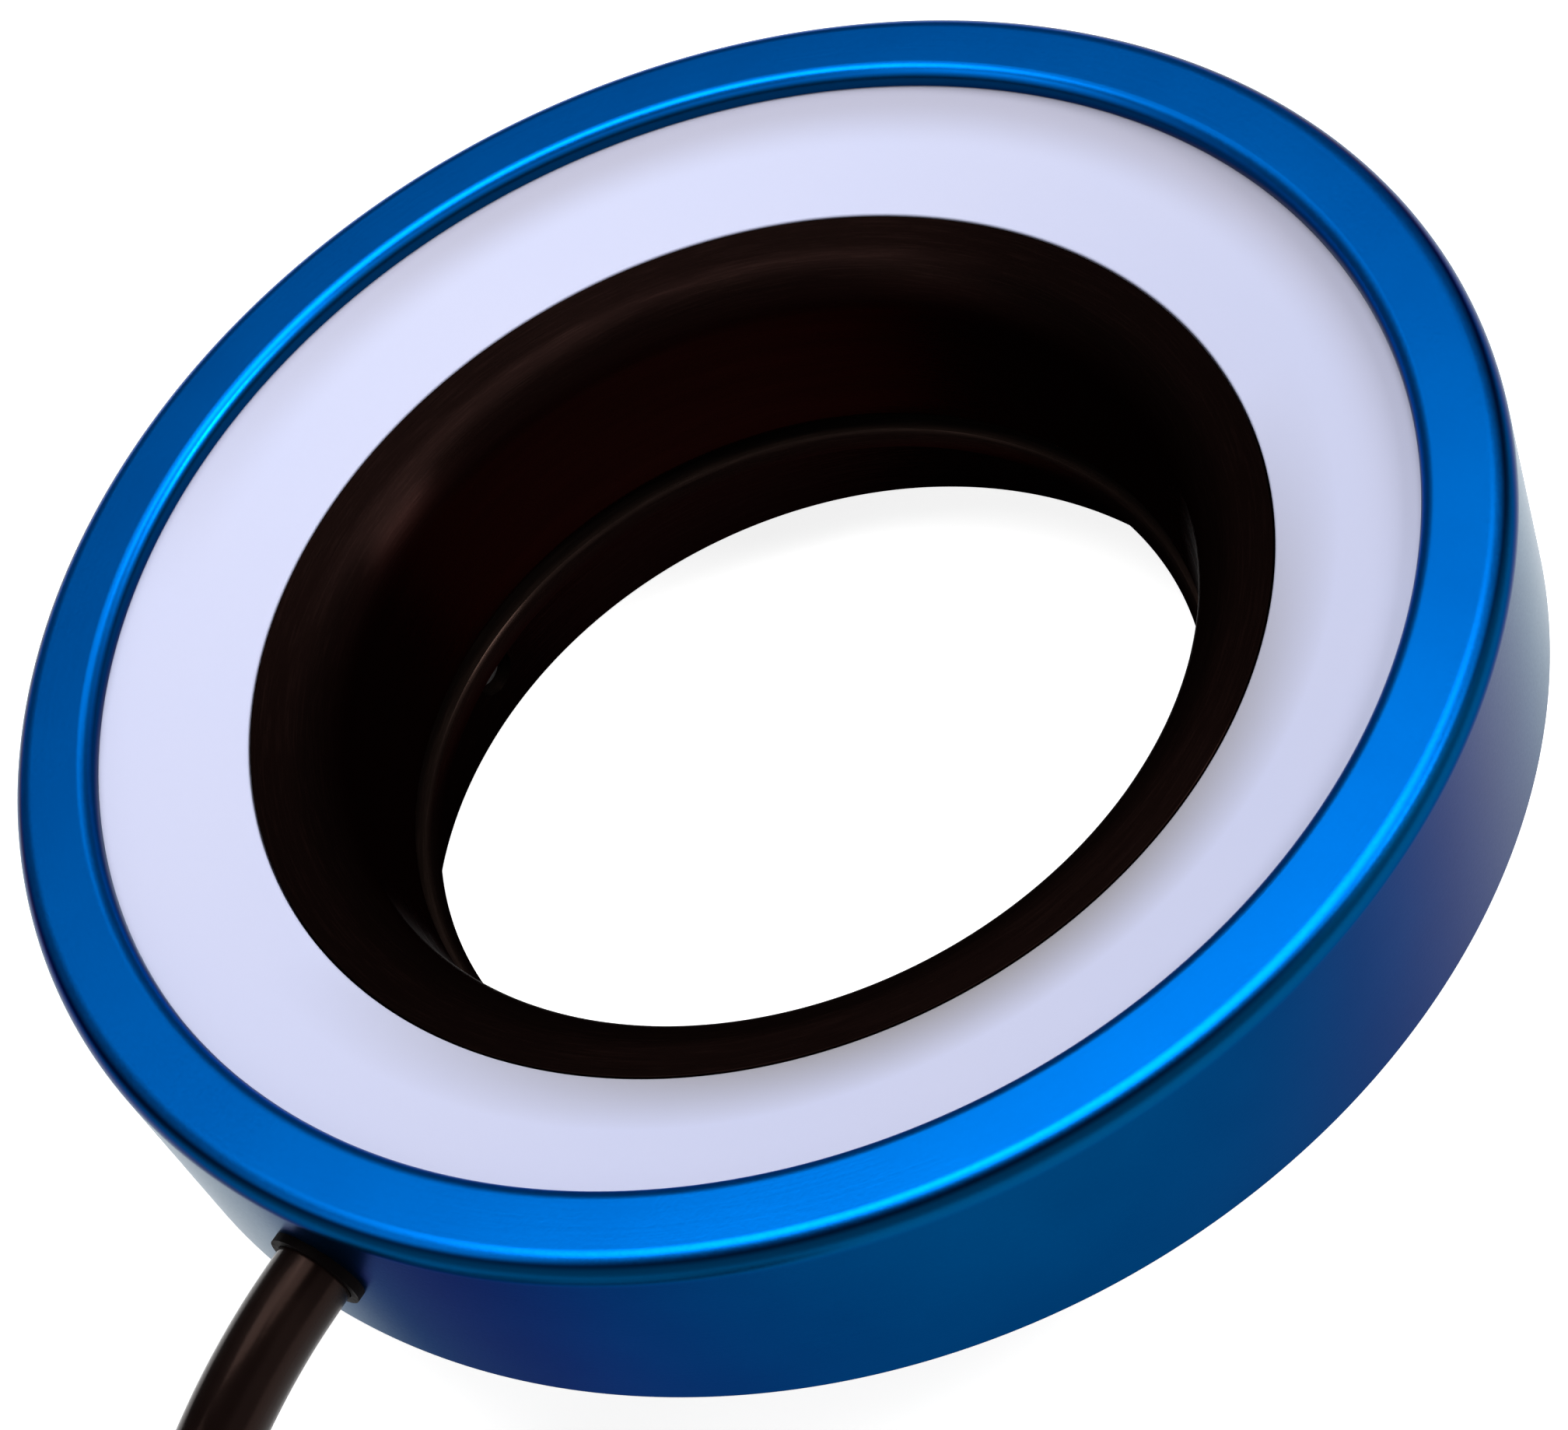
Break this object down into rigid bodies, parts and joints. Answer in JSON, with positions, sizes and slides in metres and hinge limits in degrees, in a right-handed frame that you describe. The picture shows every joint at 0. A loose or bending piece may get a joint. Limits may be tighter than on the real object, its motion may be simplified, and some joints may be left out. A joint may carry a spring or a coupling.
{
  "type": "led ring light",
  "caption": "Ring light for a lens: a shallow lipped ring with a milky sloping diffuser, a bell-mouthed centre, a clamping collar behind and a tied cable from its side.",
  "frame": {"origin": "on the ring's axis, at the collar's end face, on which the light stands", "axes": "+Z along the ring's axis, the way the light shines; the cable leaves along -Y"},
  "size_m": [0.104, 0.1697, 0.0273],
  "materials": {
    "blue_anodised": "blue anodised, satin with a soft sheen",
    "black_anodised": "black anodised, finely turned",
    "diffuser_white": "milky, satin",
    "black_steel": "blackened steel",
    "steel": "bright steel",
    "plain_aluminium": "plain, machined",
    "thermal_pad": "soft grey pad",
    "board_white": "white solder mask",
    "led_yellow": "white case with a yellow lens",
    "resistor_black": "ceramic chip",
    "solder": "solder",
    "wire_red": "insulated wire",
    "wire_black": "insulated wire",
    "cable_black": "black jacket with a dull gloss",
    "rubber_black": "black rubber",
    "nylon_black": "black nylon band",
    "nylon_white": "natural white nylon",
    "tin": "tinned contact"
  },
  "bodies": {
    "ring": {"housing_ring": "blue_anodised", "inner_barrel": "black_anodised", "lens_collar": "black_anodised", "diffuser": "diffuser_white", "led_carrier": "plain_aluminium", "thermal_tape": "thermal_pad", "led_board": "board_white", "leds": "led_yellow", "resistors": "resistor_black", "solder_joints": "solder", "wire_negative": "wire_black", "wire_positive": "wire_red", "cable_clamp": "steel", "clamp_screws": "steel", "housing_screws": "steel", "collar_screws": "steel", "cable_entry": "cable_black", "cable_grommet": "rubber_black", "cable_lead": "cable_black", "cable_coil": "cable_black", "coil_ties": "nylon_black", "cable_sleeve": "rubber_black", "tail_wires": "wire_red", "connector_shell": "nylon_white", "connector_contacts": "tin"},
    "set_screw_1": {"set_screw_1": "black_steel"},
    "set_screw_2": {"set_screw_2": "black_steel"},
    "set_screw_3": {"set_screw_3": "black_steel"}
  },
  "joints": [
    {"name": "set_screw_1_travel", "type": "slide", "parent": "ring", "child": "set_screw_1", "axis": [-0.5, -0.866, 0], "range_m": [-0.001, 0.0025]},
    {"name": "set_screw_2_travel", "type": "slide", "parent": "ring", "child": "set_screw_2", "axis": [1, 0, 0], "range_m": [-0.001, 0.0025]},
    {"name": "set_screw_3_travel", "type": "slide", "parent": "ring", "child": "set_screw_3", "axis": [-0.5, 0.866, 0], "range_m": [-0.001, 0.0025]}
  ]
}
